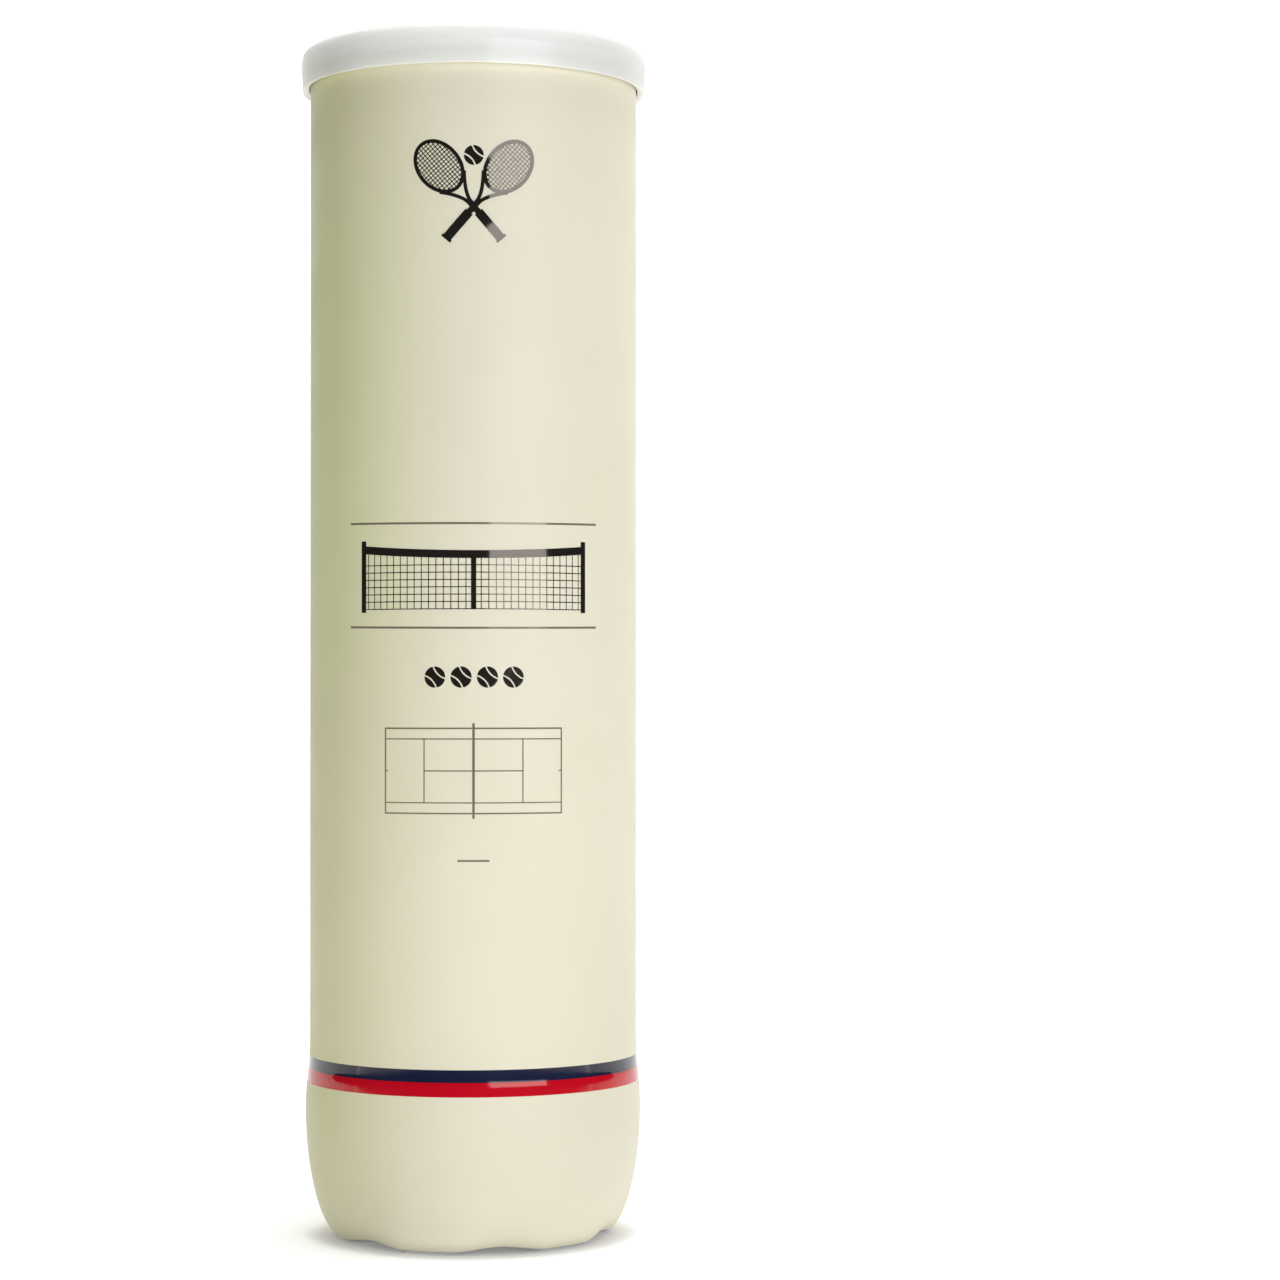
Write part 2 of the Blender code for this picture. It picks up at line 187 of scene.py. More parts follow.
class Shader:
    """A Principled material with a few words for its nodes."""

    def __init__(self, name):
        self.mat = bpy.data.materials.new(name)
        self.mat.use_nodes = True
        self.tree = self.mat.node_tree
        self.bsdf = self.tree.nodes["Principled BSDF"]
        self.coord = self.add("ShaderNodeTexCoord").outputs["Object"]

    def add(self, kind, **values):
        node = self.tree.nodes.new(kind)
        for key, value in values.items():
            if key in node.inputs:
                node.inputs[key].default_value = value
            else:
                setattr(node, key, value)
        return node

    def link(self, out, socket):
        self.tree.links.new(out, socket)

    def set(self, **values):
        for key, value in values.items():
            self.bsdf.inputs[key.replace("_", " ")].default_value = value
        return self

    def stretch(self, scale):
        node = self.add("ShaderNodeMapping")
        node.inputs["Scale"].default_value = scale
        self.link(self.coord, node.inputs["Vector"])
        return node.outputs["Vector"]

    def noise(self, scale, detail=3.0, rough=0.55, vector=None):
        node = self.add("ShaderNodeTexNoise")
        node.inputs["Scale"].default_value = scale
        node.inputs["Detail"].default_value = detail
        node.inputs["Roughness"].default_value = rough
        self.link(vector if vector is not None else self.coord, node.inputs["Vector"])
        return node.outputs["Fac"]

    def ramp(self, fac, stops):
        node = self.add("ShaderNodeValToRGB")
        elements = node.color_ramp.elements
        while len(elements) < len(stops):
            elements.new(0.5)
        for element, (place, colour) in zip(elements, stops):
            element.position = place
            element.color = colour if len(colour) == 4 else (*colour, 1.0)
        self.link(fac, node.inputs["Fac"])
        return node.outputs["Color"]

    def remap(self, fac, low, high, from_low=0.3, from_high=0.7):
        node = self.add("ShaderNodeMapRange")
        node.inputs["From Min"].default_value = from_low
        node.inputs["From Max"].default_value = from_high
        node.inputs["To Min"].default_value = low
        node.inputs["To Max"].default_value = high
        self.link(fac, node.inputs["Value"])
        return node.outputs["Result"]

    def blend(self, fac, a, b, kind="MIX"):
        node = self.add("ShaderNodeMix")
        node.data_type = "RGBA"
        node.blend_type = kind
        for value, socket in ((fac, node.inputs[0]), (a, node.inputs[6]), (b, node.inputs[7])):
            if hasattr(value, "is_linked") or hasattr(value, "links"):
                self.link(value, socket)
            else:
                socket.default_value = value
        return node.outputs[2]

    def bump(self, height, distance, strength=1.0, normal=None):
        node = self.add("ShaderNodeBump")
        node.inputs["Strength"].default_value = strength
        node.inputs["Distance"].default_value = distance
        self.link(height, node.inputs["Height"])
        if normal is not None:
            self.link(normal, node.inputs["Normal"])
        return node.outputs["Normal"]

    def colour(self, out):
        self.link(out, self.bsdf.inputs["Base Color"])
        return self

    def rough(self, out):
        self.link(out, self.bsdf.inputs["Roughness"])
        return self

    def normal(self, out):
        self.link(out, self.bsdf.inputs["Normal"])
        return self


def film_shader(name, low, high, gloss=True, painted_light_tones=None, ior=1.70):
    """Printed film: satin where it is plain and glossy under the inks, a little uneven all over; the three extra tones,
    when given, paint shade on the left side, a green glow through the film and a lighter heel into its colour.
    """
    s = Shader(name)
    tone = s.ramp(s.noise(26.0, 4.0), [(0.30, low), (0.70, high)])
    # painted shade: where the extra tones are given, the film turns a darker olive on its left side, the side away from
    # the key lamp
    if painted_light_tones is not None:
        turn = s.add("ShaderNodeVectorMath", operation="DOT_PRODUCT")
        turn.inputs[1].default_value = (-0.940, -0.342, 0.0)
        s.link(s.coord, turn.inputs[0])
        side = s.ramp(s.remap(turn.outputs["Value"], 0.0, 1.0, 0.0, 0.0378),
                      [(at, (v, v, v)) for at, v in ((0.45, 0.0), (0.63, 0.12), (0.82, 0.40), (0.90, 0.52), (0.95, 0.70), (1.0, 0.95))])
        tone = s.blend(side, tone, (*painted_light_tones[0], 1.0))
        # painted glow: on the shaded left, between about 0.10 and 0.27 m up, the tone turns green, standing for the
        # yellow balls lit through the film
        parts = s.add("ShaderNodeSeparateXYZ")
        s.link(s.coord, parts.inputs[0])
        high = s.ramp(s.remap(parts.outputs["Z"], 0.0, 1.0, 0.10, 0.27),
                      [(at, (v, v, v)) for at, v in ((0.10, 0.0), (0.36, 0.44), (0.66, 0.50), (0.90, 0.08))])
        painted_glow_mask = s.add("ShaderNodeMath", operation="MULTIPLY")
        s.link(side, painted_glow_mask.inputs[0])
        s.link(high, painted_glow_mask.inputs[1])
        tone = s.blend(painted_glow_mask.outputs["Value"], tone, (*painted_light_tones[1], 1.0))
        # painted light: the film's tone is lifted towards the foot, less on the shaded left, so the lower heel looks as
        # bright as the wall above
        heel = s.ramp(s.remap(parts.outputs["Z"], 0.0, 1.0, 0.0, 0.030),
                      [(at, (v, v, v)) for at, v in ((0.10, 0.86), (0.20, 0.46), (0.28, 0.36), (0.39, 0.27), (0.55, 0.15), (0.71, 0.08), (0.93, 0.0))])
        painted_heel_lift = s.add("ShaderNodeMath", operation="MULTIPLY")
        s.link(heel, painted_heel_lift.inputs[0])
        s.link(s.remap(side, 1.0, 0.0, 0.10, 0.52), painted_heel_lift.inputs[1])
        tone = s.blend(painted_heel_lift.outputs["Value"], tone, (*painted_light_tones[2], 1.0))
    s.colour(tone)
    fine = s.bump(s.noise(420.0, 2.0), 0.00002, 0.35)
    s.normal(s.bump(s.noise(60.0, 2.0, vector=s.stretch((1.0, 1.0, 0.35))), 0.0002, 0.10, fine))
    if gloss:
        s.rough(s.remap(s.noise(70.0, 3.0), 0.05, 0.09))
        s.set(IOR=ior, Specular_Tint=(0.948, 0.843, 0.673, 1.0))
    else:
        s.rough(s.remap(s.noise(70.0, 3.0), 0.36, 0.46))
        s.set(IOR=1.46, Specular_IOR_Level=0.30)
    return s


# cream film, then three painted tones: shade on the left side, a green glow higher up on the left, and a lighter heel
CREAM = film_shader("film_cream", (0.659, 0.627, 0.483), (0.683, 0.649, 0.508), False,
                    ((0.610, 0.602, 0.345), (0.604, 0.697, 0.309), (0.851, 0.810, 0.629))).mat
NAVY = film_shader("film_navy", (0.007, 0.010, 0.034), (0.010, 0.014, 0.043), ior=1.50).mat
RED = film_shader("film_red", (0.445, 0.0015, 0.010), (0.490, 0.003, 0.015), ior=1.50).mat
INK = film_shader("film_ink", (0.008, 0.007, 0.006), (0.013, 0.011, 0.009)).mat
INK_SOFT = film_shader("film_ink_soft", (0.150, 0.128, 0.090), (0.180, 0.150, 0.108)).mat

s = Shader("film_back")
s.colour(s.ramp(s.noise(40.0), [(0.3, (0.80, 0.80, 0.77)), (0.7, (0.84, 0.84, 0.81))]))
s.rough(s.remap(s.noise(90.0), 0.42, 0.55))
FILM_BACK = s.mat

s = Shader("shell_clear")
s.colour(s.ramp(s.noise(30.0), [(0.3, (0.90, 0.91, 0.88)), (0.7, (0.95, 0.96, 0.94))]))
s.rough(s.remap(s.noise(120.0), 0.06, 0.13))
s.normal(s.bump(s.noise(90.0, 2.0), 0.0002, 0.15))
s.set(IOR=1.57, Transmission_Weight=0.85)
SHELL = s.mat

s = Shader("lid_soft_plastic")
tone = s.ramp(s.noise(35.0, 4.0), [(0.3, (0.692, 0.700, 0.652)), (0.7, (0.720, 0.728, 0.680))])
out = s.add("ShaderNodeVectorMath", operation="LENGTH")
s.link(s.stretch((1.0, 1.0, 0.0)), out.inputs[0])
split = s.add("ShaderNodeSeparateXYZ")
s.link(s.coord, split.inputs[0])
# painted highlight: the band round the lid's top edge is paler, palest on the left (-X) and less so on the right,
# standing for light glowing through the translucent rim
rim = s.add("ShaderNodeMath", operation="MULTIPLY")
s.link(s.remap(out.outputs["Value"], 0.0, 1.0, 0.0383, 0.0391), rim.inputs[0])
s.link(s.remap(split.outputs["Z"], 0.0, 1.0, 0.2670, 0.2722), rim.inputs[1])
# painted shade: the top disc turns greyer inside 38.5 mm and is greyest inside 31 mm, toning down the face that the top
# lamp lights
tone = s.blend(s.remap(out.outputs["Value"], 1.0, 0.0, 0.031, 0.0385), tone, (0.590, 0.600, 0.585, 1.0))
edge = s.ramp(s.remap(split.outputs["X"], 0.0, 1.0, -0.0398, 0.0), [(0.0, (0.950, 0.957, 0.905)), (1.0, (0.865, 0.872, 0.820))])
tone = s.blend(rim.outputs["Value"], tone, edge)
# painted shade: the lid darkens towards +X, blending up to 42 % towards grey beyond 34 mm, on the side the key lamp
# lights most
s.colour(s.blend(s.remap(split.outputs["X"], 0.0, 0.42, 0.006, 0.034), tone, (0.500, 0.510, 0.500, 1.0)))
s.rough(s.remap(s.noise(160.0), 0.30, 0.40))
s.normal(s.bump(s.noise(900.0, 2.0), 0.00003, 0.25, s.bump(s.noise(55.0, 2.0), 0.0003, 0.08)))
s.set(IOR=1.51, Subsurface_Weight=0.5, Subsurface_Scale=0.002, Subsurface_Radius=(1.0, 1.0, 0.92),
      Specular_IOR_Level=0.30, Coat_Weight=0.24, Coat_Roughness=0.06, Coat_Tint=(1.0, 0.98, 0.94, 1.0))
LID = s.mat


def metal_shader(name, low, high, grain=(40.0, 1400.0, 40.0)):
    s = Shader(name)
    lines = s.noise(1.0, 4.0, 0.65, s.stretch(grain))
    s.colour(s.ramp(lines, [(0.3, low), (0.7, high)]))
    s.rough(s.remap(lines, 0.22, 0.36))
    s.normal(s.bump(lines, 0.00004, 0.30, s.bump(s.noise(140.0, 3.0), 0.0002, 0.12)))
    s.set(Metallic=1.0)
    return s.mat


END_METAL = metal_shader("end_sheet", (0.74, 0.74, 0.73), (0.84, 0.84, 0.83))
TAB_METAL = metal_shader("tab_sheet", (0.70, 0.70, 0.69), (0.82, 0.82, 0.81), (1400.0, 40.0, 40.0))

s = Shader("seam_rubber_grey")
s.colour(s.ramp(s.noise(200.0), [(0.3, (0.36, 0.37, 0.36)), (0.7, (0.45, 0.46, 0.45))]))
s.rough(s.remap(s.noise(300.0), 0.6, 0.8))
COMPOUND = s.mat

s = Shader("felt_yellow")
tone = s.ramp(s.noise(55.0, 4.0), [(0.25, (0.50, 0.60, 0.040)), (0.50, (0.60, 0.69, 0.055)), (0.75, (0.70, 0.77, 0.095))])
fibre = s.noise(900.0, 5.0, 0.7, s.stretch((1.0, 2.4, 1.6)))
s.colour(s.blend(0.55, tone, s.ramp(fibre, [(0.30, (0.42, 0.52, 0.025)), (0.72, (0.80, 0.86, 0.16))])))
s.rough(s.remap(fibre, 0.85, 1.0))
s.normal(s.bump(fibre, 0.0006, 0.9, s.bump(s.noise(260.0, 4.0), 0.0010, 0.7)))
s.set(Sheen_Weight=0.55, Sheen_Roughness=0.45, Sheen_Tint=(0.93, 1.0, 0.55, 1.0), Specular_IOR_Level=0.15)
FELT = s.mat

s = Shader("ball_seam_white")
s.colour(s.ramp(s.noise(220.0, 3.0), [(0.3, (0.70, 0.70, 0.63)), (0.7, (0.80, 0.80, 0.74))]))
s.rough(s.remap(s.noise(500.0), 0.62, 0.82))
s.normal(s.bump(s.noise(700.0, 3.0), 0.0002, 0.5))
BALL_SEAM = s.mat

s = Shader("ball_core_black")
s.colour(s.ramp(s.noise(150.0, 3.0), [(0.3, (0.045, 0.045, 0.050)), (0.7, (0.075, 0.075, 0.080))]))
s.rough(s.remap(s.noise(300.0), 0.65, 0.85))
CORE = s.mat

# ------------------------------------------------------------------ film sleeve
FILM_T = 0.12
FILM_LOW = 0.75
BACK = math.pi

film_z = [SLEEVE_TOP] + list(np.arange(261.0, 50.0, -3.5)) + list(np.arange(50.0, 42.2, -1.0))
film_z += list(np.linspace(NAVY_TOP, NAVY_LOW, 11)) + list(np.linspace(NAVY_LOW, RED_LOW, 15))[1:]
film_z += list(np.arange(35.2, 6.0, -1.2)) + [5.4, 4.6, 3.9, 3.3, 2.8, 2.3, 1.9, 1.5, 1.2, 0.95, FILM_LOW]
film_outer = [(float(outside_r(z)), z) for z in film_z]
film_outline = film_outer + [(r - FILM_T, z) for r, z in reversed(film_outer)]

lap = np.concatenate([
    np.linspace(0.0, math.radians(174.0), 232, endpoint=False),
    np.linspace(math.radians(174.0), math.radians(186.0), 48, endpoint=False),
    np.linspace(math.radians(186.0), TAU, 232, endpoint=False),
])


def film_shape(r, th, z):
    """Arches, the lapped seam down the back, and the slight pull of the shrunk film."""
    d = np.degrees(th - BACK)
    seam = 0.07 * ease((d + 3.2) / 0.35) * (1.0 - ease((d - 2.6) / 0.9))
    ripple = 0.012 * np.sin(th * 23.0 + z * 0.55) * ease((34.0 - z) / 16.0) * ease((z - 3.0) / 6.0)
    r, z = feet(r + seam + ripple, th, z)
    return r, z


outer_count = len(film_outer)


def film_face(i):
    if i >= outer_count - 1:
        return 3
    mid = 0.5 * (film_z[i] + film_z[i + 1])
    if NAVY_LOW < mid < NAVY_TOP:
        return 1
    if RED_LOW < mid < NAVY_LOW:
        return 2
    return 0


film = lathe("label_film", film_outline, [CREAM, NAVY, RED, FILM_BACK], thetas=lap, deform=film_shape,
             seg_mat=film_face, sharp=50.0)
wear(film, "can", "sleeve_film", "label_sleeve")

# ------------------------------------------------------------------ print on the film


class Print:
    """Flat shapes in mm, x round the can from the front, y the height, wrapped on the film."""

    def __init__(self):
        self.bm = bmesh.new()

    def strip(self, left, right, lift=0.0):
        """Quads between two lines of (x, y)."""
        a = [self.bm.verts.new((x, y, lift)) for x, y in left]
        b = [self.bm.verts.new((x, y, lift)) for x, y in right]
        for i in range(len(a) - 1):
            self.bm.faces.new((a[i], a[i + 1], b[i + 1], b[i]))

    def ribbon(self, path, width, lift=0.0, closed=False, taper=None):
        """A line of even width along a path of (x, y)."""
        pts = [Vector(p) for p in path]
        left, right = [], []
        n = len(pts)
        for i, p in enumerate(pts):
            if closed:
                d = pts[(i + 1) % n] - pts[i - 1]
            else:
                d = pts[min(i + 1, n - 1)] - pts[max(i - 1, 0)]
            d.normalize()
            w = width if taper is None else width + (taper - width) * i / (n - 1)
            side = Vector((-d.y, d.x)) * (w / 2)
            left.append(tuple(p + side))
            right.append(tuple(p - side))
        if closed:
            left.append(left[0])
            right.append(right[0])
        self.strip(left, right, lift)

    def line(self, a, b, width, lift=0.0, taper=None):
        steps = max(1, int((Vector(b) - Vector(a)).length / 0.8))
        self.ribbon([(a[0] + (b[0] - a[0]) * k / steps, a[1] + (b[1] - a[1]) * k / steps)
                     for k in range(steps + 1)], width, lift, taper=taper)

    def make(self, name, mat, height=0.035):
        bm = self.bm
        bmesh.ops.remove_doubles(bm, verts=bm.verts, dist=1e-5)
        for f in bm.faces:
            if f.normal.z < 0:
                f.normal_flip()
        bm.normal_update()
        flip = [f for f in bm.faces if f.normal.z < 0]
        if flip:
            bmesh.ops.reverse_faces(bm, faces=flip)
        low = list(bm.faces)
        made = bmesh.ops.extrude_face_region(bm, geom=low, use_keep_orig=True)
        for v in (g for g in made["geom"] if isinstance(g, bmesh.types.BMVert)):
            v.co.z += height
        for v in bm.verts:
            r = float(outside_r(v.co.y)) - 0.008 + v.co.z
            a = v.co.x / SLEEVE_R
            v.co = Vector((r * math.sin(a), -r * math.cos(a), v.co.y)) * MM
        obj = finish_mesh(name, bm, [mat])
        obj.data.set_sharp_from_angle(angle=math.radians(40.0))
        return wear(obj, "can", "sleeve_film")


def ellipse(cx, cy, a, b, turn, count=64, start=0.0, end=TAU):
    c, sn = math.cos(turn), math.sin(turn)
    pts = []
    for i in range(count):
        w = start + (end - start) * i / count
        x, y = a * math.cos(w), b * math.sin(w)
        pts.append((cx + x * c - y * sn, cy + x * sn + y * c))
    return pts


def racket(p, foot, turn, size, lift):
    """A plain racket: foot is the butt of the handle, turn leans it, size its length."""
    c, sn = math.cos(turn), math.sin(turn)

    def at(u, v):
        return (foot[0] + (u * c - v * sn) * size, foot[1] + (u * sn + v * c) * size)

    head_v, head_a, head_b = 0.765, 0.165, 0.225
    p.ribbon([at(head_a * math.cos(w), head_v + head_b * math.sin(w)) for w in np.linspace(0, TAU, 56, endpoint=False)],
             0.030 * size, lift + 0.012, closed=True)
    for k in range(-5, 6):
        u = k * 0.027
        h = head_b * math.sqrt(max(0.0, 1.0 - (u / head_a) ** 2))
        if h > 0.03:
            p.line(at(u, head_v - h), at(u, head_v + h), 0.0075 * size, lift)
    for k in range(-7, 8):
        v = k * 0.027
        h = head_a * math.sqrt(max(0.0, 1.0 - (v / head_b) ** 2))
        if h > 0.03:
            p.line(at(-h, head_v + v), at(h, head_v + v), 0.0075 * size, lift + 0.006)
    for side in (-1, 1):
        p.ribbon([at(side * (0.118 * (1 - t) ** 1.5 + 0.012), 0.605 - 0.205 * t) for t in np.linspace(0, 1, 10)],
                 0.028 * size, lift + 0.018)
    p.line(at(0, 0.42), at(0, 0.27), 0.050 * size, lift + 0.024)
    p.line(at(0, 0.285), at(0, 0.02), 0.074 * size, lift + 0.030)
    p.line(at(0, 0.022), at(0, 0.0), 0.092 * size, lift + 0.036)


def small_ball(p, cx, cy, rad, gap, turn=0.0, lift=0.0):
    """A filled ball with its two seam lines left open."""
    rows = [-rad * math.cos(math.pi * i / 26) for i in range(27)]

    def seam_x(y):
        return rad * (0.40 + 0.30 * (y / rad) ** 2)

    def edge(y):
        return math.sqrt(max(rad * rad - y * y, 0.0))

    c, sn = math.cos(turn), math.sin(turn)

    def at(x, y):
        return (cx + x * c - y * sn, cy + x * sn + y * c)

    mid = [(min(seam_x(y) - gap / 2, edge(y)), y) for y in rows]
    p.strip([at(-x, y) for x, y in mid], [at(x, y) for x, y in mid], lift)
    keep = [y for y in rows if edge(y) > seam_x(y) + gap / 2 + 1e-4]
    for side in (-1, 1):
        p.strip([at(side * (seam_x(y) + gap / 2), y) for y in keep], [at(side * edge(y), y) for y in keep], lift)


# crossed rackets and a ball
badge = Print()
for side in (-1, 1):
    lean = math.radians(41.0)
    cross = 0.34 * 28.0
    racket(badge, (-side * cross * math.sin(lean), 232.5 - cross * math.cos(lean)), -side * lean, 28.0, 0.0 if side < 0 else 0.05)
small_ball(badge, 0.0, 243.9, 2.2, 0.36, math.radians(45.0))
badge.make("print_badge", INK, 0.030)

# two rules
rules = Print()
half = math.radians(46.6) * SLEEVE_R
for height in (162.65, 139.55):
    rules.ribbon([(x, height - 0.145 + 0.335 * (x / half) ** 2) for x in np.linspace(-half, half, 78)], 0.45)
rules.make("print_rules", INK_SOFT)

# a net between the rules
net = Print()
NET_HALF, NET_TOP, NET_LOW = 26.0, 157.7, 143.5


def sag(x):
    return NET_TOP - 1.15 * (1.0 - (x / NET_HALF) ** 2)


xs = np.linspace(-NET_HALF, NET_HALF, 66)
net.strip([(x, sag(x)) for x in xs], [(x, sag(x) - 1.75) for x in xs], 0.024)
for k in range(-15, 16):
    x = k * NET_HALF / 15.5
    net.line((x, NET_LOW), (x, sag(x) - 1.6), 0.20, 0.0)
for k in range(7):
    y = NET_LOW + 0.1 + 1.62 * k
    net.line((-NET_HALF, y), (NET_HALF, y), 0.20, 0.008)
net.line((0.0, NET_LOW), (0.0, sag(0.0) - 1.6), 1.15, 0.016)
for side in (-1, 1):
    net.line((side * (NET_HALF + 0.55), NET_LOW - 0.6), (side * (NET_HALF + 0.55), NET_TOP + 1.1), 1.30, 0.030)
net.make("print_net", INK, 0.030)

# four small balls
icons = Print()
for degrees in (-13.1, -4.2, 4.7, 13.5):
    small_ball(icons, math.radians(degrees) * SLEEVE_R, 128.52, 2.35, 0.34, math.radians(45.0))
icons.make("print_balls", INK)

# plan of a court
court = Print()
CX, CY, CW, CH = 0.0, 107.8, 20.5, 9.4


def court_line(x0, y0, x1, y1, w=0.30, lift=0.0):
    court.line((CX + x0 * CW, CY + y0 * CH), (CX + x1 * CW, CY + y1 * CH), w, lift)


for y in (-1.0, 1.0):
    court_line(-1.007, y, 1.007, y, 0.34, 0.000)
for y in (-0.75, 0.75):
    court_line(-1.0, y, 1.0, y, 0.26, 0.000)
for x in (-1.0, 1.0):
    court_line(x, -1.0, x, 1.0, 0.34, 0.008)
for x in (-0.54, 0.54):
    court_line(x, -0.75, x, 0.75, 0.26, 0.008)
court_line(-0.54, 0.0, 0.54, 0.0, 0.26, 0.000)
court_line(0.0, -1.12, 0.0, 1.12, 0.55, 0.016)
for x in (-1.0, 1.0):
    court_line(x, 0.0, x * 0.965, 0.0, 0.26, 0.000)
court.make("print_court", INK_SOFT, 0.030)

dash = Print()
dash.line((-3.55, 87.95), (3.55, 87.95), 0.44)
dash.make("print_dash", INK_SOFT)

# ------------------------------------------------------------------ shell
SHELL_OFF, SHELL_T = 0.20, 0.60
shell_r = SLEEVE_R - SHELL_OFF
wall_z = [268.2] + list(np.arange(262.0, 50.0, -8.0)) + list(np.arange(48.0, 34.0, -1.0)) + list(np.arange(33.0, 5.0, -1.6))
wall_z += [4.6, 3.8, 3.1, 2.5, 2.0, 1.5, 1.1, 0.8]
shell_outer = [(float(outside_r(z)) - SHELL_OFF, z) for z in wall_z]
edge_r = shell_outer[-1][0]
shell_outer += [(edge_r - 0.55, 0.42), (edge_r - 1.1, 0.16), (30.0, 0.0), (27.5, 0.0), (25.2, 0.0), (24.4, 0.07), (23.2, 0.28)]
shell_outer += [(r, 2.0 - 1.72 * float(ease((r - 8.0) / 16.5)) ** 1.1) for r in (21.8, 20.0, 18.0, 15.5, 13.0, 10.5, 8.0, 5.0)]
shell_outer += [(2.6, 2.0), (2.3, 1.75), (0.0, 1.70)]
shell_inner = []
for i, (r, z) in enumerate(shell_outer):
    a = Vector(shell_outer[max(i - 1, 0)])
    b = Vector(shell_outer[min(i + 1, len(shell_outer) - 1)])
    d = (b - a).normalized()
    if r < 6.0:
        shell_inner.append((r, 2.6))
    else:
        shell_inner.append((r + d.y * SHELL_T, z - d.x * SHELL_T))
neck = rounded([(shell_r, 266.0, 0), (shell_r - 0.35, 267.2, 0.6), (shell_r - 0.35, 268.5, 0.5), (37.95, 269.0, 0.25),
                (37.95, 269.6, 0.2), (36.45, 269.6, 0.25), (36.45, 268.2, 0)])
shell_outer[0] = (shell_r, 265.6)
shell_inner[0] = (shell_r - SHELL_T, 265.6)
shell_outline = list(reversed(shell_outer)) + neck + [(36.55, 266.6)] + shell_inner
shell = lathe("can_shell", shell_outline, [SHELL], n=288, deform=feet, closed=False)
wear(shell, "can", "shell_plastic", "can_body")

# ------------------------------------------------------------------ metal end
end_line = rounded([
    (33.40, 266.32, 0.10), (33.40, 266.68, 0.10), (34.50, 266.70, 0.35), (34.95, 265.25, 0.40), (35.45, 265.25, 0.40),
    (35.90, 270.55, 0.0), (36.22, 271.0, 0.40), (38.60, 271.0, 0.75), (38.60, 267.80, 0.55), (37.50, 267.80, 0.15),
    (37.50, 268.12, 0.12), (38.25, 268.12, 0.25), (38.25, 270.65, 0.35), (36.25, 270.65, 0.30), (35.78, 264.90, 0.45),
    (34.60, 264.90, 0.45), (34.20, 266.32, 0.35),
], closed=True, turn=12.0)
end_ring = lathe("end_rim", end_line, [END_METAL], n=288, sharp=60.0)
wear(end_ring, "can", "end_metal", "end_ring")

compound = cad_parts["seam_compound"]
compound.data.materials.clear()
compound.data.materials.append(COMPOUND)


def panel_height(x, y):
    """Height in mm of the pressed pattern on the torn-out panel, over its plane."""
    r = np.hypot(x, y)
    a = np.arctan2(x, y)
    h = -0.45 * ease((r - 29.9) / 0.55) * (1.0 - ease((r - 31.3) / 0.55))
    h = h + 0.16 * (1.0 - ease((r - 26.6) / 0.8))
    for radius, reach, high in ((22.4, 1.15, 0.30), (17.6, 0.95, 0.30)):
        bow = np.exp(-(((r - radius) / 0.62) ** 2)) * (1.0 - ease((np.abs(a) - reach) / 0.10))
        h = h + high * bow
    return h


radii = list(np.linspace(0.0, 14.0, 15)) + list(np.linspace(14.6, 29.4, 38)) + list(np.linspace(29.7, 32.2, 16)) + [32.6, 32.95]
panel_n = 240
th = np.linspace(0.0, TAU, panel_n, endpoint=False)
verts, faces, rings = [], [], []
for level in (0, 1):
    rows = []
    order = radii if level == 0 else list(reversed(radii))
    for r in order:
        z0 = PANEL_Z + PANEL_T - 0.02 if level == 0 else PANEL_Z + 0.06
        if r < 1e-6:
            rows.append([len(verts)])
            verts.append((0.0, 0.0, (z0 + float(panel_height(0.0, 1e-6))) * MM))
            continue
        x, y = r * np.sin(th), -r * np.cos(th)
        z = z0 + panel_height(x, y)
        base = len(verts)
        verts.extend(zip(x * MM, y * MM, z * MM))
        rows.append(list(range(base, base + panel_n)))
    rings.extend(rows)
for a, b in zip(rings, rings[1:]):
    for j in range(panel_n):
        k = (j + 1) % panel_n
        if len(a) == 1 and len(b) == 1:
            break
        if len(a) == 1:
            faces.append((a[0], b[j], b[k]))
        elif len(b) == 1:
            faces.append((a[j], b[0], a[k]))
        else:
            faces.append((a[j], b[j], b[k], a[k]))
mesh = bpy.data.meshes.new("panel_sheet")
mesh.from_pydata(verts, [], faces)
bm = bmesh.new()
bm.from_mesh(mesh)
bpy.data.meshes.remove(mesh)
panel = finish_mesh("end_panel", bm, [END_METAL])
panel.data.set_sharp_from_angle(angle=math.radians(60.0))
wear(panel, "seal", "end_metal", "tear_panel")

RIVET_Y = TAB_NOSE_Y + 6.0
rivet_line = [(0.0, PANEL_Z + 0.1), (1.95, PANEL_Z + 0.1)] + rounded([
    (1.95, PANEL_Z + 0.2, 0), (1.95, TAB_Z + 0.95, 0.1), (2.42, TAB_Z + 1.05, 0.15), (2.42, TAB_Z + 1.45, 0.3),
    (1.5, TAB_Z + 1.5, 0.2), (1.2, TAB_Z + 1.25, 0.2), (0.0, TAB_Z + 1.2, 0)])
rivet = lathe("panel_rivet", rivet_line, [END_METAL], n=48, closed=False, sharp=60.0)
for v in rivet.data.vertices:
    v.co.y += RIVET_Y * MM
wear(rivet, "seal", "end_metal")

# ------------------------------------------------------------------ pull tab


def tab_outline(inset=0.0, count=120):
    nose_r, ring_r, ring_y = 6.0 - inset, 10.8 - inset, -8.6 - TAB_NOSE_Y
    nose_y = 6.0
    lean = (ring_r - nose_r) / (ring_y - nose_y)
    cut = math.pi / 2 + math.asin(lean)
    pts = []
    big = int(count * 0.60)
    for i in range(big + 1):
        a = -cut + 2 * cut * i / big
        pts.append((ring_r * math.sin(a), ring_y + ring_r * math.cos(a)))
    small = count - big
    for i in range(1, small):
        a = cut + (TAU - 2 * cut) * i / small
        pts.append((nose_r * math.sin(a), nose_y + nose_r * math.cos(a)))
    return pts


